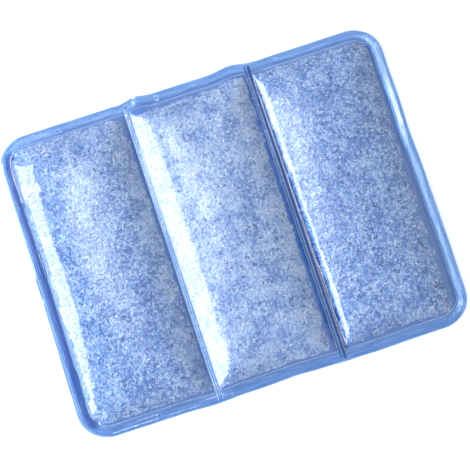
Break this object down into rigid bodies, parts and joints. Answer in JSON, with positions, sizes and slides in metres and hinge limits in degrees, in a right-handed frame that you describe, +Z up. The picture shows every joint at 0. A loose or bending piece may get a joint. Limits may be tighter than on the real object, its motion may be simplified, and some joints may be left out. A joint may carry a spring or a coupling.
{
  "type": "cooling gel pad",
  "caption": "Flat clear blue pad of two welded films, its seamed chambers filled with crushed cooling gel, lying on its back.",
  "frame": {"origin": "on the table under the middle of the pad's outline", "axes": "+X across the chambers towards the right one, +Y along the seams towards the far end, +Z up from the back film to the front film"},
  "size_m": [0.356, 0.278, 0.0199],
  "materials": {
    "film": "clear blue-tinted soft plastic film, glossy",
    "gel": "wet crushed clear blue gel"
  },
  "bodies": {
    "root": {"front_sheet": "film", "back_sheet": "film", "gel_left": "gel", "gel_middle": "gel", "gel_right": "gel"}
  },
  "joints": []
}
